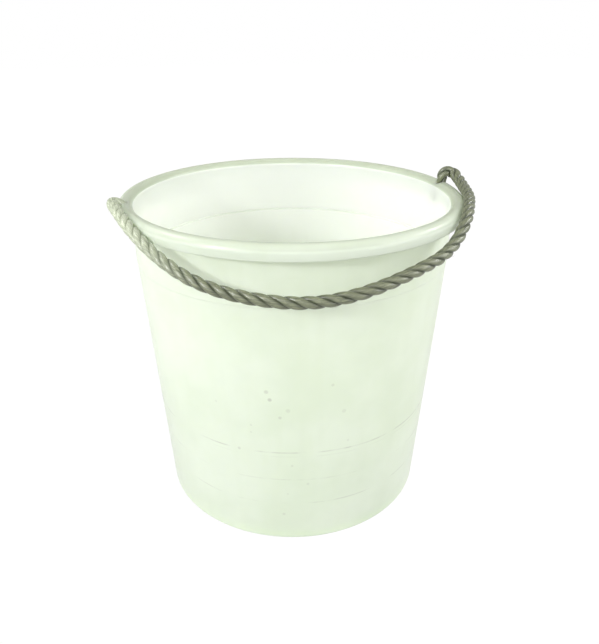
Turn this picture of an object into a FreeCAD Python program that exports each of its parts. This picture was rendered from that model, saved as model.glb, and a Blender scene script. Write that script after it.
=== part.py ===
# Florist bucket: a moulded polyethylene pail with a rolled rim and a laid rope handle.
# Millimetres, +Z up. Origin on the table, in the middle of the base; the rope's two holes are on X.
import FreeCAD, Part
import math
import os
from FreeCAD import Vector

# Bucket: driving dimensions
height = 304.0
rim_radius = 160.0         # outside of the rolled rim
skirt_depth = 12.6         # from the crown down to the rim's lower edge
base_radius = 131.8        # the conical wall, carried down to the table
ledge_height = 248.0       # the faint step where nested buckets stop
ledge_radius = 147.5       # outside of the wall just under the step
collar_radius = 148.0      # outside of the nearly upright wall above it
wall = 2.0
collar_wall = 1.8
floor_thickness = 2.4
foot_recess = 5.0          # the base is lifted by this inside its foot ring
foot_inner_radius = 124.0
foot_draft = 2.0
outer_corner = 4.0
inner_corner = 6.0
ledge_rise = 1.5
ledge_drop = 1.0           # the step inside lies this much under the one outside

# Rope: driving dimensions
rope_diameter = 10.0
hole_diameter = 10.0
tail_diameter = 9.6        # squeezed a little where it goes through the rim
waist_diameter = 8.4       # drawn in by the twine whipping
twine_thickness = 0.7
whipping_bottom = 290.5
whipping_top = 296.5
button_length = 14.0       # along the rim, so that it can't come up through the hole
button_width = 9.8         # across the channel inside the rim
button_height = 6.0
button_edge = 2.2
elbow_radius = 6.0
lean_height = 299.2        # the left hole is tipped out by 45 degrees from here, so the rope lies
                           # over the rim's shoulder there, while it humps up at the right hole
swing_gap = 0.45           # between each fixed end and the swinging span

# The swinging span, from the right elbow round the front to the left one
span_route = [
    (159.8, 0.0, 312.8),
    (166.6, 0.0, 312.8),
    (170.8, -4.2, 312.5),
    (171.5, -10.4, 311.0),
    (169.8, -20.0, 308.2),
    (165.6, -35.6, 304.8),
    (156.6, -63.6, 302.4),
    (140.2, -94.0, 301.2),
    (121.0, -118.0, 298.2),
    (104.6, -132.6, 288.5),
    (86.0, -145.4, 281.5),
    (60.5, -158.0, 277.5),
    (30.0, -166.8, 271.5),
    (0.0, -169.6, 265.5),
    (-31.5, -167.0, 263.0),
    (-62.5, -157.6, 264.8),
    (-90.5, -143.2, 268.8),
    (-114.0, -126.0, 275.5),
    (-133.4, -104.8, 285.0),
    (-149.2, -79.6, 294.5),
    (-160.2, -55.4, 301.4),
    (-167.0, -34.8, 304.6),
    (-171.6, -19.8, 306.2),
    (-173.3, -10.2, 306.3),
    (-172.8, -4.2, 305.9),
    (-168.8, 0.0, 305.6),
    (-162.7, 0.0, 305.6),
]

roll_radius = (rim_radius - collar_radius + collar_wall) / 2
roll_inner_radius = roll_radius - collar_wall
roll_middle = rim_radius - roll_radius
roll_height = height - roll_radius


def revolve_profile(edges):
    wire = Part.Wire(edges)
    face = Part.Face(wire)
    return face.revolve(Vector(0, 0, 0), Vector(0, 0, 1), 360)


def profile_arc(middle_radius, middle_height, radius, start, end):
    """An arc in the XZ plane, from start to end degrees; 0 points outward and 90 up."""
    points = []
    for angle in (start, (start + end) / 2, end):
        turn = math.radians(angle)
        points.append(Vector(middle_radius + radius * math.cos(turn), 0, middle_height + radius * math.sin(turn)))
    return Part.Arc(*points).toShape()


def outline(pieces):
    """Joins arcs and corner points, in order, into one closed run of edges."""
    edges = []
    previous = None
    for piece in pieces:
        start = piece if isinstance(piece, Vector) else piece.Vertexes[0].Point
        if previous is not None and previous.distanceToPoint(start) > 1e-6:
            edges.append(Part.LineSegment(previous, start).toShape())
        if isinstance(piece, Vector):
            previous = piece
        else:
            edges.append(piece)
            previous = piece.Vertexes[-1].Point
    edges.append(Part.LineSegment(previous, pieces[0]).toShape())
    return edges


def bucket_shell():
    draft = math.atan((ledge_radius - base_radius) / ledge_height)
    tilt = math.degrees(draft)
    outer_middle = base_radius + outer_corner * math.tan(draft) - outer_corner / math.cos(draft)
    floor_top = foot_recess + floor_thickness
    inner_middle_height = floor_top + inner_corner
    inner_base = base_radius - wall
    inner_middle = inner_base + inner_middle_height * math.tan(draft) - inner_corner / math.cos(draft)
    lip_radius = collar_wall / 2
    lip_height = height - skirt_depth + lip_radius
    inner_ledge = ledge_height - ledge_drop
    pieces = [
        Vector(0, 0, foot_recess),
        Vector(foot_inner_radius - foot_draft, 0, foot_recess),
        Vector(foot_inner_radius, 0, 0),
        profile_arc(outer_middle, outer_corner, outer_corner, -90, -tilt),
        Vector(ledge_radius, 0, ledge_height),
        Vector(collar_radius, 0, ledge_height + ledge_rise),
        profile_arc(roll_middle, roll_height, roll_inner_radius, 180, 0),
        profile_arc(rim_radius - lip_radius, lip_height, lip_radius, -180, 0),
        profile_arc(roll_middle, roll_height, roll_radius, 0, 180),
        Vector(collar_radius - collar_wall, 0, inner_ledge),
        Vector(ledge_radius - wall, 0, inner_ledge - ledge_drop),
        profile_arc(inner_middle, inner_middle_height, inner_corner, -tilt, -90),
        Vector(0, 0, floor_top),
    ]
    shell = revolve_profile(outline(pieces))
    for side in (1, -1):
        shell = shell.cut(tube_along(tail_path(side), hole_diameter))
    return shell


def rounded_path(points, fixed_radius=None):
    """Straight runs joined by tangent arcs, of one radius or each as large as its two runs allow."""
    corners = [Vector(*point) for point in points]
    edges = []
    radii = []
    here = corners[0]
    for before, corner, after in zip(corners, corners[1:], corners[2:]):
        run_in = (before - corner).normalize()
        run_out = (after - corner).normalize()
        half_turn = (math.pi - run_in.getAngle(run_out)) / 2
        setback = 0.45 * min(before.distanceToPoint(corner), after.distanceToPoint(corner))
        if fixed_radius:
            setback = fixed_radius * math.tan(half_turn)
        radius = setback / math.tan(half_turn)
        arc_start = corner + run_in * setback
        arc_end = corner + run_out * setback
        inward = (run_in + run_out).normalize()
        arc_middle = corner + inward * (radius / math.cos(half_turn) - radius)
        edges.append(Part.LineSegment(here, arc_start).toShape())
        edges.append(Part.Arc(arc_start, arc_middle, arc_end).toShape())
        radii.append(round(radius, 1))
        here = arc_end
    edges.append(Part.LineSegment(here, corners[-1]).toShape())
    return Part.Wire(edges), radii


def tube_along(path, diameter):
    start = path.Edges[0].Vertexes[0].Point
    heading = path.Edges[0].tangentAt(path.Edges[0].FirstParameter)
    section = Part.Wire([Part.makeCircle(diameter / 2, start, heading)])
    return path.makePipeShell([section], True, True)


def handle_rope():
    path, radii = rounded_path(span_route)
    tube = tube_along(path, rope_diameter)
    expected = math.pi * rope_diameter ** 2 / 4 * path.Length
    print("handle_rope length", round(path.Length, 1), "bend radii", radii)
    print("handle_rope volume", round(tube.Volume), "section times length", round(expected))
    return tube


def tail_path(side):
    """Up from the whipping, out through the rim, and on to where the span begins."""
    x = side * roll_middle
    meeting = Vector(*span_route[0 if side == 1 else -1])
    end = meeting - Vector(side * swing_gap, 0, 0)
    if side == 1:
        bends = [Vector(x, 0, end.z)]
    else:
        bends = [Vector(x, 0, lean_height), Vector(x - (end.z - lean_height), 0, end.z)]
    path, radii = rounded_path([Vector(x, 0, whipping_top), *bends, end], elbow_radius)
    return path


def rope_tail(side):
    """The end of the rope from its whipping to the span, with the waist inside the whipping."""
    tube = tube_along(tail_path(side), tail_diameter)
    base = Vector(side * roll_middle, 0, whipping_bottom)
    waist = Part.makeCylinder(waist_diameter / 2, whipping_top - whipping_bottom, base)
    return tube.fuse(waist).removeSplitter()


def rope_whipping(side):
    base = Vector(side * roll_middle, 0, whipping_bottom)
    turns_height = whipping_top - whipping_bottom
    outside = Part.makeCylinder(waist_diameter / 2 + twine_thickness, turns_height, base)
    inside = Part.makeCylinder(waist_diameter / 2, turns_height, base)
    return outside.cut(inside)


def rope_stopper(side):
    """The fused end of the rope, pressed into an oval button that is longer than the hole."""
    bottom = whipping_bottom - button_height
    straight = button_length - button_width
    x = side * roll_middle
    ends = []
    for y in (-straight / 2, straight / 2):
        ends.append(Part.makeCylinder(button_width / 2, button_height, Vector(x, y, bottom)))
    middle = Part.makeBox(button_width, straight, button_height, Vector(x - button_width / 2, -straight / 2, bottom))
    button = ends[0].fuse(ends[1]).fuse(middle).removeSplitter()
    rims = [edge for edge in button.Edges if edge.BoundBox.ZLength < 1e-6]
    return button.makeFillet(button_edge, rims)


os.makedirs("parts", exist_ok=True)
nodes = {
    "bucket_shell": bucket_shell(),
    "handle_rope": handle_rope(),
}
for name, side in (("right", 1), ("left", -1)):
    nodes["rope_tail_" + name] = rope_tail(side)
    nodes["rope_whipping_" + name] = rope_whipping(side)
    nodes["rope_stopper_" + name] = rope_stopper(side)
for name, shape in nodes.items():
    shape.exportStep("parts/" + name + ".step")
    box = shape.BoundBox
    print(name, "valid", shape.isValid(), "solids", len(shape.Solids), "volume", round(shape.Volume), box)
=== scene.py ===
import math
import random

import bpy
import numpy as np
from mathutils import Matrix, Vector


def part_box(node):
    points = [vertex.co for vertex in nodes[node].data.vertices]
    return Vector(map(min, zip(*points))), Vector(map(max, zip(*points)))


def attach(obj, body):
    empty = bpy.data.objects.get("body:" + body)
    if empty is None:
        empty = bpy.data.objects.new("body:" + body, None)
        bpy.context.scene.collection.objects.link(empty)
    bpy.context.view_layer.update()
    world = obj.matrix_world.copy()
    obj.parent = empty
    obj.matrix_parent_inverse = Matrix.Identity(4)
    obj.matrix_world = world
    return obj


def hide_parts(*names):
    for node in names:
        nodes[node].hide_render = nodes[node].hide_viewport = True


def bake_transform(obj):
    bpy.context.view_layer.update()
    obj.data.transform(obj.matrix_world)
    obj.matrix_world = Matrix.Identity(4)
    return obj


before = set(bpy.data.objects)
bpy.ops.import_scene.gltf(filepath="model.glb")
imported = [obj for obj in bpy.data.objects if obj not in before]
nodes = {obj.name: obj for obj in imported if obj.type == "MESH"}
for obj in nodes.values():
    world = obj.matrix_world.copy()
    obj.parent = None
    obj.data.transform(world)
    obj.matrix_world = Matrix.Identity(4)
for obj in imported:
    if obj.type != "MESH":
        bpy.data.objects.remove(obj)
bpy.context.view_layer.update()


# --- Bucket ----------------------------------------------------------------------------------
# One injection moulding of natural polyethylene: milky, a little see-through, with a satin skin.
# It has rub marks low on the wall, a few dirt specks and faint streaks.
WALL_AT_TABLE = 0.1318      # the conical wall's outer radius, carried down to the table
WALL_SLOPE = 0.0633
WALL_MIDDLE = 0.001         # from the wall's outer skin to its middle
COLLAR_MIDDLE = 0.1471      # radius of the middle of the upright collar
CROWN_START = 0.299         # height where the wall turns over into the rim
LEDGE_INSIDE = 0.2464

MILKY_DIM = (0.68, 0.78, 0.60, 1)
MILKY_BRIGHT = (0.74, 0.84, 0.66, 1)
FLOW_STREAK = (0.65, 0.74, 0.54, 1)
# Lit and shaded colours of the inside: painted light near the rim, painted shade deeper down
INSIDE_SHADED_LOW = (0.85, 0.94, 0.77, 1)
INSIDE_LIT_HIGH = (0.94, 1.0, 0.86, 1)
DIRT = (0.36, 0.38, 0.31, 1)
# Painted shade for the rim's lower edge and the inside ledge
EDGE_SHADE = (0.5, 0.55, 0.43, 1)
# Painted shade over the rim's crown
CROWN_SHADE = (0.42, 0.46, 0.36, 1)

RUB_RINGS = [
    # height, strength
    (0.1055, 0.45),
    (0.1010, 0.1),
    (0.0746, 0.3),
    (0.0457, 0.3),
]
SPECKS = [
    # azimuth in degrees, height, size, strength
    (-113.4, 0.1703, 0.0024, 0.35),
    (-112.3, 0.1624, 0.0021, 0.5),
    (-106.1, 0.1518, 0.0025, 0.22),
    (-108.9, 0.1442, 0.0020, 0.32),
    (-119.4, 0.1338, 0.0016, 0.2),
    (-119.6, 0.1261, 0.0016, 0.2),
    (-90.9, 0.1756, 0.0018, 0.25),
    (-86.3, 0.1467, 0.0024, 0.18),
    (-83.9, 0.1136, 0.0018, 0.18),
    (-124.7, 0.1054, 0.0019, 0.3),
    (-104.8, 0.0912, 0.0015, 0.2),
    (-98.8, 0.0692, 0.0019, 0.22),
    (-106.5, 0.0577, 0.0015, 0.15),
    (-108.2, 0.0324, 0.0022, 0.25),
    (-132.5, 0.1515, 0.0015, 0.15),
]


def fill(tree, socket, value):
    if isinstance(value, bpy.types.NodeSocket):
        tree.links.new(value, socket)
    else:
        socket.default_value = value


def node(tree, kind, **inputs):
    made = tree.nodes.new(kind)
    for name, value in inputs.items():
        fill(tree, made.inputs[name.replace("_", " ")], value)
    return made


def math_node(tree, operation, *values):
    made = tree.nodes.new("ShaderNodeMath")
    made.operation = operation
    for socket, value in zip(made.inputs, values):
        fill(tree, socket, value)
    return made.outputs[0]


def times(tree, first, second):
    return math_node(tree, "MULTIPLY", first, second)


def plus(tree, first, second):
    return math_node(tree, "ADD", first, second)


def minus(tree, first, second):
    return math_node(tree, "SUBTRACT", first, second)


def below(tree, value, limit):
    return math_node(tree, "LESS_THAN", value, limit)


def vector_node(tree, operation, *vectors):
    made = tree.nodes.new("ShaderNodeVectorMath")
    made.operation = operation
    for socket, vector in zip(made.inputs, vectors):
        fill(tree, socket, vector)
    return made.outputs["Vector" if operation == "MULTIPLY" else "Value"]


def mix_color(tree, factor, first, second):
    made = tree.nodes.new("ShaderNodeMix")
    made.data_type = "RGBA"
    for socket, value in zip((made.inputs[0], made.inputs[6], made.inputs[7]), (factor, first, second)):
        fill(tree, socket, value)
    return made.outputs[2]


def noise(tree, vector, scale, detail=2.0, roughness=0.5):
    made = node(tree, "ShaderNodeTexNoise", Vector=vector, Scale=scale, Detail=detail, Roughness=roughness)
    return made.outputs["Fac"]


def ramp(tree, value, low, high):
    """A soft step from 0 at low to 1 at high."""
    made = node(tree, "ShaderNodeMapRange", Value=value, From_Min=low, From_Max=high)
    made.interpolation_type = "SMOOTHSTEP"
    return made.outputs[0]


def new_material(name):
    made = bpy.data.materials.new(name)
    made.use_nodes = True
    return made, made.node_tree, made.node_tree.nodes["Principled BSDF"]


def polyethylene():
    material, tree, skin = new_material("natural_polyethylene")
    place = node(tree, "ShaderNodeTexCoord").outputs["Object"]
    height = node(tree, "ShaderNodeSeparateXYZ", Vector=place).outputs["Z"]
    reach = vector_node(tree, "LENGTH", vector_node(tree, "MULTIPLY", place, (1.0, 1.0, 0.0)))

    # Milky unevenness, and faint streaks that run up the wall
    cloud = noise(tree, place, 14.0, 3.0, 0.55)
    streak = noise(tree, vector_node(tree, "MULTIPLY", place, (1.0, 1.0, 0.12)), 60.0, 2.0)
    color = mix_color(tree, ramp(tree, cloud, 0.3, 0.7), MILKY_DIM, MILKY_BRIGHT)
    color = mix_color(tree, times(tree, ramp(tree, streak, 0.45, 0.75), 0.18), color, FLOW_STREAK)

    # Painted light: paler inside, most of all near the rim, with painted shade deeper down
    wall_middle = plus(tree, WALL_AT_TABLE - WALL_MIDDLE, times(tree, height, WALL_SLOPE))
    wall_middle = math_node(tree, "MINIMUM", wall_middle, COLLAR_MIDDLE)
    inside = times(tree, below(tree, reach, wall_middle), below(tree, height, CROWN_START))
    lit_inside = mix_color(tree, ramp(tree, height, 0.13, 0.27), INSIDE_SHADED_LOW, INSIDE_LIT_HIGH)
    color = mix_color(tree, times(tree, inside, 0.92), color, lit_inside)

    # Rub marks: thin broken rings round the wall
    patchy = noise(tree, place, 26.0, 3.0, 0.6)
    wobble = times(tree, minus(tree, noise(tree, place, 9.0, 1.0), 0.5), 0.004)
    marks = 0.0
    for ring_height, strength in RUB_RINGS:
        away = math_node(tree, "ABSOLUTE", minus(tree, plus(tree, height, wobble), ring_height))
        line = minus(tree, 1.0, ramp(tree, away, 0.0002, 0.0011))
        line = times(tree, line, times(tree, ramp(tree, patchy, 0.42, 0.62), strength))
        marks = math_node(tree, "MAXIMUM", marks, line)

    # Dirt specks on the outside of the wall
    for azimuth, speck_height, size, strength in SPECKS:
        turn = math.radians(azimuth)
        radius = WALL_AT_TABLE + WALL_SLOPE * speck_height
        center = (radius * math.cos(turn), radius * math.sin(turn), speck_height)
        away = vector_node(tree, "DISTANCE", place, center)
        away = plus(tree, away, times(tree, minus(tree, patchy, 0.5), size))
        spot = minus(tree, 1.0, ramp(tree, away, size * 0.35, size))
        marks = math_node(tree, "MAXIMUM", marks, times(tree, spot, strength))
    color = mix_color(tree, marks, color, DIRT)

    # Painted shade along the rim's lower edge and on the ledge inside (broken up in patches there), and
    # painted shade over the crown, less at its outer edge
    # Painted shade: darker at the rim's lower edge and in a line at the inside ledge
    low = minus(tree, 1.0, ramp(tree, height, 0.2916, 0.2968))
    skirt_shade = times(tree, ramp(tree, reach, 0.1555, 0.1565), low)
    away = math_node(tree, "ABSOLUTE", minus(tree, height, LEDGE_INSIDE))
    ledge_shade = times(tree, minus(tree, 1.0, ramp(tree, away, 0.0003, 0.0011)), below(tree, reach, 0.1468))
    ledge_shade = times(tree, ledge_shade, plus(tree, 0.35, times(tree, patchy, 0.6)))
    color = mix_color(tree, math_node(tree, "MAXIMUM", times(tree, skirt_shade, 0.2), ledge_shade), color, EDGE_SHADE)
    # Painted shade over the crown, full at its inner edge and half as strong at its outer edge
    outer_half = times(tree, ramp(tree, reach, 0.1520, 0.1570), 0.5)
    crown = times(tree, ramp(tree, height, 0.2985, 0.3005), minus(tree, 1.0, outer_half))
    color = mix_color(tree, times(tree, crown, 0.85), color, CROWN_SHADE)

    fine = noise(tree, place, 420.0, 3.0, 0.6)
    satin = ramp(tree, noise(tree, place, 30.0, 4.0, 0.6), 0.2, 0.8)
    fill(tree, skin.inputs["Base Color"], color)
    fill(tree, skin.inputs["Roughness"], plus(tree, 0.28, times(tree, satin, 0.1)))
    skin.inputs["Subsurface Weight"].default_value = 0.8
    skin.inputs["Subsurface Radius"].default_value = (1.0, 1.0, 0.85)
    skin.inputs["Subsurface Scale"].default_value = 0.009
    skin.inputs["IOR"].default_value = 1.5
    bumps = plus(tree, fine, times(tree, cloud, 3.0))
    bump = node(tree, "ShaderNodeBump", Strength=0.04, Distance=0.0005, Height=bumps)
    fill(tree, skin.inputs["Normal"], bump.outputs[0])
    return material


shell = nodes["bucket_shell"]
shell.data.materials.clear()
shell.data.materials.append(polyethylene())


# --- Rope ------------------------------------------------------------------------------------
# One length of three-strand rope, laid right-handed, grey-beige and a little glossy, with a few
# loose fibres. It comes up through each hole in the rim and hangs in front of the bucket.
ROPE_ROUTE = [
    (0.1531, 0.0, 0.2905),
    (0.1531, 0.0, 0.3020),
    (0.1534, 0.0, 0.3094),
    (0.1566, -0.0002, 0.3129),
    (0.1604, -0.0004, 0.3132),
    (0.1634, -0.0024, 0.3124),
    (0.1648, -0.0066, 0.3106),
    (0.1648, -0.0130, 0.3082),
    (0.1624, -0.0240, 0.3064),
    (0.1568, -0.0420, 0.3056),
    (0.1474, -0.0684, 0.3054),
    (0.1336, -0.0936, 0.3048),
    (0.1200, -0.1162, 0.3006),
    (0.1048, -0.1314, 0.2885),
    (0.0860, -0.1454, 0.2815),
    (0.0605, -0.1580, 0.2775),
    (0.0300, -0.1668, 0.2715),
    (0.0, -0.1696, 0.2655),
    (-0.0315, -0.1670, 0.2630),
    (-0.0625, -0.1576, 0.2648),
    (-0.0905, -0.1432, 0.2688),
    (-0.1138, -0.1256, 0.2755),
    (-0.1314, -0.1046, 0.2850),
    (-0.1454, -0.0800, 0.2945),
    (-0.1542, -0.0570, 0.3014),
    (-0.1586, -0.0370, 0.3044),
    (-0.1618, -0.0210, 0.3050),
    (-0.1632, -0.0108, 0.3054),
    (-0.1634, -0.0044, 0.3049),
    (-0.1616, -0.0006, 0.3050),
    (-0.1586, 0.0, 0.3038),
    (-0.1554, 0.0, 0.3010),
    (-0.1532, 0.0, 0.2978),
    (-0.1531, 0.0, 0.2905),
]
ROPE_DIAMETER = 0.010
ROPE_LAY = 0.037            # along the rope for one turn of its strands
YARN_LAY = 0.021
YARNS = 8
RING = 40                   # points round a strand
# How far the rope is drawn in or opened, against the length from each end
RIGHT_SQUEEZE = ([0.0, 0.006, 0.008, 0.014, 0.018, 0.035, 0.08], [0.82, 0.82, 0.93, 0.94, 1.05, 1.08, 1.0])
LEFT_SQUEEZE = ([0.0, 0.006, 0.008, 0.016, 0.024], [0.82, 0.82, 0.9, 0.9, 1.0])
SWING_FRONT = -0.005        # the swinging span starts this far in front of the holes
# Two points by each of the rope's ends; the loop below does not use them
TWISTS = {
    "right": ((0.1570, 0, 0.3128), (0.1625, 0, 0.3128)),
    "left": ((-0.1565, 0, 0.3056), (-0.1622, 0, 0.3056)),
}
LOOSE_FIBRES = 170

# Shaded and lit colours of the rope's fibres: painted shade in the grooves, painted highlight (with some
# wear) on the crowns
FIBRE_GROOVE_SHADE = ((0.032, 0.04, 0.02, 1), (0.10, 0.118, 0.062, 1))
FIBRE_CROWN_WEAR_AND_LIGHT = ((0.07, 0.082, 0.043, 1), (0.265, 0.288, 0.168, 1))
# Painted light for the rope's brighter left end
FIBRE_LIT_END = ((0.34, 0.39, 0.26, 1), (0.80, 0.86, 0.66, 1))
FIBRE_STAIN = (0.14, 0.15, 0.085, 1)


def read_curve(route, resolution):
    """The points of the smooth line that has the route's points as its control points."""
    curve = bpy.data.curves.new("rope_line", "CURVE")
    curve.dimensions = "3D"
    spline = curve.splines.new("NURBS")
    spline.points.add(len(route) - 1)
    for point, place in zip(spline.points, route):
        point.co = (*place, 1.0)
    spline.order_u = 3
    spline.use_endpoint_u = True
    spline.resolution_u = resolution
    holder = bpy.data.objects.new("rope_line", curve)
    mesh = bpy.data.meshes.new_from_object(holder)
    points = np.array([vertex.co for vertex in mesh.vertices])
    bpy.data.meshes.remove(mesh)
    bpy.data.objects.remove(holder)
    return points


def even_points(points, spacing):
    steps = np.linalg.norm(np.diff(points, axis=0), axis=1)
    along = np.concatenate([[0.0], np.cumsum(steps)])
    count = int(round(along[-1] / spacing)) + 1
    wanted = np.linspace(0.0, along[-1], count)
    return np.stack([np.interp(wanted, along, points[:, axis]) for axis in range(3)], axis=1), wanted


def frames_along(points):
    """A side vector and an up vector across the line at each point, carried along without twist."""
    heading = np.gradient(points, axis=0)
    heading /= np.linalg.norm(heading, axis=1)[:, None]
    side = np.zeros_like(points)
    side[0] = np.cross(heading[0], (0.0, 1.0, 0.0))
    side[0] /= np.linalg.norm(side[0])
    for i in range(1, len(points)):
        carried = side[i - 1] - heading[i] * (side[i - 1] @ heading[i])
        side[i] = carried / np.linalg.norm(carried)
    return heading, side, np.cross(heading, side)


line, line_length = even_points(read_curve(ROPE_ROUTE, 24), 0.001)
line_heading, line_side, line_up = frames_along(line)
rope_length = line_length[-1]


def squeeze_at(along):
    """How far the rope is drawn in by the whippings and the holes, and opens where it bends over the rim."""
    right = np.interp(along, *RIGHT_SQUEEZE)
    left = np.interp(rope_length - along, *LEFT_SQUEEZE)
    return float(min(right, left) if min(right, left) < 1 else max(right, left))


def strand_ring(i, strand):
    """One ring of a strand: pear-shaped where it presses on the others, and ridged by its yarns."""
    along = line_length[i]
    turn = 2 * math.pi * (along / ROPE_LAY + strand / 3)
    outward = line_side[i] * math.cos(turn) + line_up[i] * math.sin(turn)
    across = line_up[i] * math.cos(turn) - line_side[i] * math.sin(turn)
    swell = 1 + 0.022 * math.sin(along / 0.0061 + 2.1 * strand) + 0.018 * math.sin(along / 0.0143 + strand)
    size = ROPE_DIAMETER * 0.515 * squeeze_at(along)
    yarn_turn = 2 * math.pi * along / YARN_LAY
    around = np.linspace(0, 2 * math.pi, RING, endpoint=False)
    ridge = 0.925 + 0.075 * np.sqrt(np.abs(np.sin(YARNS * (around + yarn_turn) / 2)))
    radial = size * (0.5 + 0.5 * swell * ridge * np.cos(around))
    sideways = size * 0.61 * swell * ridge * np.sin(around)
    ring = line[i] + np.outer(radial, outward) + np.outer(sideways, across)
    return ring, (around + yarn_turn) / (2 * math.pi)


def tube_mesh(name, tubes, material):
    """A mesh of closed tubes. Each tube is a list of rings, and each ring has its points and its UVs."""
    points, faces, uvs = [], [], []
    for rings in tubes:
        sides = len(rings[0][0])
        first = len(points)
        for ring, places in rings:
            points.extend(map(tuple, ring))
            uvs.append(places)
        for r in range(len(rings) - 1):
            for c in range(sides):
                here = first + r * sides + c
                beside = first + r * sides + (c + 1) % sides
                faces.append((here, beside, beside + sides, here + sides))
        faces.append(tuple(first + c for c in reversed(range(sides))))
        faces.append(tuple(first + (len(rings) - 1) * sides + c for c in range(sides)))
    mesh = bpy.data.meshes.new(name)
    mesh.from_pydata(points, [], faces)
    mesh.polygons.foreach_set("use_smooth", [True] * len(mesh.polygons))
    places = np.concatenate(uvs)
    corners = np.zeros(len(mesh.loops), int)
    mesh.loops.foreach_get("vertex_index", corners)
    mesh.uv_layers.new(name="lay").data.foreach_set("uv", places[corners].ravel())
    mesh.materials.append(material)
    piece = bpy.data.objects.new(name, mesh)
    bpy.context.scene.collection.objects.link(piece)
    return piece


def laid_rope(name, first, last, material):
    tubes = []
    for strand in range(3):
        rings = []
        for i in range(first, last + 1):
            ring, turns = strand_ring(i, strand)
            places = np.stack([np.full(RING, line_length[i] / ROPE_DIAMETER), turns + 5.3 * strand], axis=1)
            rings.append((ring, places))
        tubes.append(rings)
    rope = tube_mesh(name, tubes, material)
    # How far each point faces out from its strand; the fibre material paints shade in the grooves and
    # highlight on the crowns from it
    crowns = 0.5 + 0.5 * np.cos(np.linspace(0, 2 * math.pi, RING, endpoint=False))
    crowns = np.tile(crowns, 3 * (last + 1 - first))
    rope.data.attributes.new("crown", "FLOAT", "POINT").data.foreach_set("value", crowns)
    return rope


def rope_fibre():
    material, tree, skin = new_material("rope_fibre")
    lay = node(tree, "ShaderNodeUVMap")
    lay.uv_map = "lay"
    fibres = noise(tree, vector_node(tree, "MULTIPLY", lay.outputs[0], (0.55, 26.0, 1.0)), 1.0, 3.0, 0.6)
    bright = ramp(tree, fibres, 0.3, 0.72)
    place = node(tree, "ShaderNodeTexCoord").outputs["Object"]
    patches = noise(tree, place, 55.0, 2.0)

    # Painted shade down between the strands, and paler crowns that are partly rubbed and partly a painted
    # highlight; stained in patches
    crown = node(tree, "ShaderNodeAttribute")
    crown.attribute_name = "crown"
    # Mix of painted shade in the grooves and painted highlight on the crowns, following the crown attribute
    worn = ramp(tree, plus(tree, crown.outputs["Fac"], times(tree, fibres, 0.5)), 0.68, 1.2)
    color = mix_color(tree, worn, mix_color(tree, bright, *FIBRE_GROOVE_SHADE), mix_color(tree, bright, *FIBRE_CROWN_WEAR_AND_LIGHT))
    color = mix_color(tree, times(tree, ramp(tree, patches, 0.4, 0.7), 0.35), color, FIBRE_STAIN)

    # Painted light: paler toward its left end, where the rope catches the most light
    side = node(tree, "ShaderNodeSeparateXYZ", Vector=place).outputs["X"]
    left_end_light = minus(tree, 1.0, ramp(tree, side, -0.165, -0.10))
    color = mix_color(tree, times(tree, left_end_light, 0.85), color, mix_color(tree, bright, *FIBRE_LIT_END))

    fill(tree, skin.inputs["Base Color"], color)
    fill(tree, skin.inputs["Roughness"], plus(tree, 0.24, times(tree, fibres, 0.2)))
    skin.inputs["Sheen Weight"].default_value = 0.1
    skin.inputs["Sheen Roughness"].default_value = 0.4
    skin.inputs["Specular IOR Level"].default_value = 1.0
    bump = node(tree, "ShaderNodeBump", Strength=0.5, Distance=0.0003, Height=fibres)
    fill(tree, skin.inputs["Normal"], bump.outputs[0])
    return material


fibre = rope_fibre()
in_front = np.nonzero(line[:, 1] < SWING_FRONT)[0]
right_cut, left_cut = int(in_front[0]), int(in_front[-1])
span = laid_rope("rope_span", right_cut, left_cut, fibre)
ends = {
    "right": laid_rope("rope_end_right", 0, right_cut, fibre),
    "left": laid_rope("rope_end_left", left_cut, len(line) - 1, fibre),
}

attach(span, "handle")
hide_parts("handle_rope")
for name, (twist_start, twist_end) in TWISTS.items():
    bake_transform(ends[name])
    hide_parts("rope_tail_" + name)

# Loose fibres that stand out of the strands
chance = random.Random(7)
hairs = []
for _ in range(LOOSE_FIBRES):
    i = chance.randrange(right_cut + 8, left_cut - 8)
    turn = chance.uniform(0, 2 * math.pi)
    out = line_side[i] * math.cos(turn) + line_up[i] * math.sin(turn)
    lean = line_heading[i] * chance.choice((-1, 1))
    lean = lean + np.cross(out, line_heading[i]) * chance.uniform(-0.5, 0.5)
    lean /= np.linalg.norm(lean)
    length = chance.uniform(0.002, 0.006)
    lift = chance.uniform(0.15, 0.6)
    start = line[i] + out * ROPE_DIAMETER * 0.44
    rings = []
    for step in range(5):
        share = step / 4
        middle = start + lean * length * share + out * length * lift * share * (1.6 - share)
        radius = 0.00006 * (1 - 0.6 * share)
        across = np.cross(out, lean)
        ring = [middle + radius * (out * math.cos(a) + across * math.sin(a)) for a in (0, 2.1, 4.2)]
        rings.append((np.array(ring), np.tile([line_length[i] / ROPE_DIAMETER + share, 0.3], (3, 1))))
    hairs.append(rings)
fuzz = tube_mesh("rope_loose_fibres", hairs, fibre)
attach(fuzz, "handle")


# --- Whippings -------------------------------------------------------------------------------
# Each rope end is bound with waxed twine under the crown of the rim, so that the strands can't
# open. The twine is wound tight, turn against turn, round the drawn-in end of the rope.
TWINE_RADIUS = 0.00038
TWINE_PITCH = 2.05 * TWINE_RADIUS
TWINE_STEPS = 28            # points along one turn
TWINE_DARK = (0.2, 0.18, 0.12, 1)
TWINE_PALE = (0.36, 0.33, 0.24, 1)


def waxed_twine():
    material, tree, skin = new_material("waxed_twine")
    place = node(tree, "ShaderNodeTexCoord").outputs["Object"]
    worn = noise(tree, place, 900.0, 2.0)
    color = mix_color(tree, ramp(tree, worn, 0.3, 0.7), TWINE_DARK, TWINE_PALE)
    fill(tree, skin.inputs["Base Color"], color)
    skin.inputs["Roughness"].default_value = 0.5
    bump = node(tree, "ShaderNodeBump", Strength=0.4, Distance=0.0002, Height=worn)
    fill(tree, skin.inputs["Normal"], bump.outputs[0])
    return material


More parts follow.
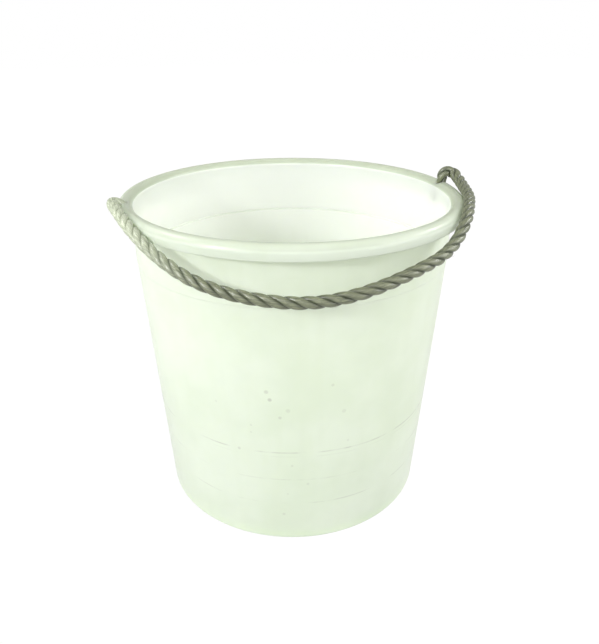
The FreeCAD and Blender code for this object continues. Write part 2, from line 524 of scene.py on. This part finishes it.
twine = waxed_twine()
for name in ("right", "left"):
    low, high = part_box("rope_whipping_" + name)
    middle = (low + high) / 2
    wound_radius = (high.x - low.x) / 2 - TWINE_RADIUS
    wound_height = high.z - low.z - 2 * TWINE_RADIUS
    turns = int(wound_height / TWINE_PITCH)
    rings = []
    for step in range(turns * TWINE_STEPS + 1):
        turn = 2 * math.pi * step / TWINE_STEPS
        out = np.array([math.cos(turn), math.sin(turn), 0.0])
        height = low.z + TWINE_RADIUS + wound_height * step / (turns * TWINE_STEPS)
        center = np.array([middle.x, middle.y, height]) + out * wound_radius
        ring = [center + TWINE_RADIUS * (out * math.cos(a) + np.array([0, 0, math.sin(a)]))
                for a in np.linspace(0, 2 * math.pi, 8, endpoint=False)]
        rings.append((np.array(ring), np.tile([turn, 0.0], (8, 1))))
    whipping = tube_mesh("whipping_" + name, [rings], twine)
    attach(whipping, "bucket")
    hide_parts("rope_whipping_" + name)


# --- Fused ends ------------------------------------------------------------------------------
# Below the whipping each end of the rope is melted and pressed into an oval button. It is longer
# than the hole in the rim is wide, so the rope can't pull out.
BUTTON_LEVELS = 17
BUTTON_SIDES = 36
MELTED_DARK = (0.07, 0.06, 0.035, 1)
MELTED_PALE = (0.2, 0.18, 0.11, 1)


def melted_fibre():
    material, tree, skin = new_material("melted_fibre")
    place = node(tree, "ShaderNodeTexCoord").outputs["Object"]
    lumps = noise(tree, place, 420.0, 4.0, 0.6)
    color = mix_color(tree, ramp(tree, lumps, 0.35, 0.7), MELTED_DARK, MELTED_PALE)
    fill(tree, skin.inputs["Base Color"], color)
    skin.inputs["Roughness"].default_value = 0.28
    bump = node(tree, "ShaderNodeBump", Strength=0.5, Distance=0.0004, Height=lumps)
    fill(tree, skin.inputs["Normal"], bump.outputs[0])
    return material


def rounded(value, power):
    return math.copysign(abs(value) ** power, value)


melted = melted_fibre()
for name in ("right", "left"):
    low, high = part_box("rope_stopper_" + name)
    middle = np.array((low + high) / 2)
    half = np.array((high - low) / 2)
    rings = []
    for level in range(BUTTON_LEVELS):
        slope = -math.pi / 2 + math.pi * (level + 0.5) / BUTTON_LEVELS
        ring = []
        for step in range(BUTTON_SIDES):
            turn = 2 * math.pi * step / BUTTON_SIDES
            sag = 0.97 + 0.03 * math.sin(3 * turn + level * 0.35) * math.cos(slope)
            ring.append(middle + half * sag * np.array([
                rounded(math.cos(slope), 0.55) * rounded(math.cos(turn), 0.85),
                rounded(math.cos(slope), 0.55) * rounded(math.sin(turn), 0.85),
                rounded(math.sin(slope), 0.7),
            ]))
        rings.append((np.array(ring), np.tile([level, 0.0], (BUTTON_SIDES, 1))))
    button = tube_mesh("fused_end_" + name, [rings], melted)
    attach(button, "bucket")
    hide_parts("rope_stopper_" + name)


# --- Studio ----------------------------------------------------------------------------------
# A white table and a white room, dimmer behind the bucket and overhead. A key lamp stands at the
# left, soft lamps in front and at the right, and two windows catch the rim and fill the inside.
TABLE_REACH = 6.0
TABLE_LIGHT = 0.72          # what the table throws on the bucket, under its own brightness
TABLE_SEEN = 0.3
ROOM_LIGHT = 1.05
BEHIND = (0.26, 0.96, 0.0)
BEHIND_DIM = 0.65
OVERHEAD_DIM = 0.45

table_mesh = bpy.data.meshes.new("white_table")
table_mesh.from_pydata([(-TABLE_REACH, -TABLE_REACH, 0), (TABLE_REACH, -TABLE_REACH, 0),
                        (TABLE_REACH, TABLE_REACH, 0), (-TABLE_REACH, TABLE_REACH, 0)], [], [(0, 1, 2, 3)])
table = bpy.data.objects.new("white_table", table_mesh)
bpy.context.scene.collection.objects.link(table)
table_paint, tree, skin = new_material("white_table")
skin.inputs["Base Color"].default_value = (0, 0, 0, 1)
skin.inputs["Specular IOR Level"].default_value = 0.0
skin.inputs["Emission Color"].default_value = (1, 1, 1, 1)
seen = tree.nodes.new("ShaderNodeLightPath").outputs["Is Camera Ray"]
fill(tree, skin.inputs["Emission Strength"], plus(tree, TABLE_LIGHT, times(tree, seen, TABLE_SEEN)))
table_mesh.materials.append(table_paint)

world = bpy.data.worlds.new("white_room")
world.use_nodes = True
room = world.node_tree
direction = node(room, "ShaderNodeTexCoord").outputs["Generated"]
behind = ramp(room, vector_node(room, "DOT_PRODUCT", direction, BEHIND), -0.05, 0.65)
overhead = ramp(room, node(room, "ShaderNodeSeparateXYZ", Vector=direction).outputs["Z"], 0.25, 0.85)
dim = math_node(room, "MAXIMUM", times(room, behind, BEHIND_DIM), times(room, overhead, OVERHEAD_DIM))
seen = room.nodes.new("ShaderNodeLightPath").outputs["Is Camera Ray"]
background = room.nodes["Background"]
background.inputs["Color"].default_value = (1, 1, 1, 1)
fill(room, background.inputs["Strength"], math_node(room, "MAXIMUM", seen, minus(room, ROOM_LIGHT, dim)))
bpy.context.scene.world = world


def lamp(name, place, aim_height, size, power):
    light = bpy.data.lights.new(name, "AREA")
    light.shape = "DISK"
    light.size = size
    light.energy = power
    holder = bpy.data.objects.new(name, light)
    holder.location = place
    toward = Vector((0, 0, aim_height)) - Vector(place)
    holder.rotation_euler = toward.to_track_quat("-Z", "Y").to_euler()
    bpy.context.scene.collection.objects.link(holder)


lamp("key_left", (-1.45, -0.85, 0.95), 0.2, 0.3, 14.0)
lamp("front", (-0.34, -1.1, 1.4), 0.22, 0.9, 3.4)
lamp("soft_right", (1.3, -0.75, 0.9), 0.2, 0.9, 6.5)
lamp("window_right", (1.3, 0.0, 0.98), 0.28, 0.3, 4.2)
lamp("window_left", (-0.95, 0.46, 1.28), 0.28, 0.3, 4.4)


# --- Camera ----------------------------------------------------------------------------------
# It looks a little down on the bucket from the front, turned to the left of the rope's middle.
camera_data = bpy.data.cameras.new("camera")
camera_data.sensor_width = 36.0
camera_data.lens = 35.94
camera = bpy.data.objects.new("camera", camera_data)
camera.location = (-0.148, -0.5794, 0.4538)
camera.rotation_euler = (math.radians(64.4), 0, math.radians(-15))
bpy.context.scene.collection.objects.link(camera)
bpy.context.scene.camera = camera
bpy.context.scene.view_settings.view_transform = "Standard"
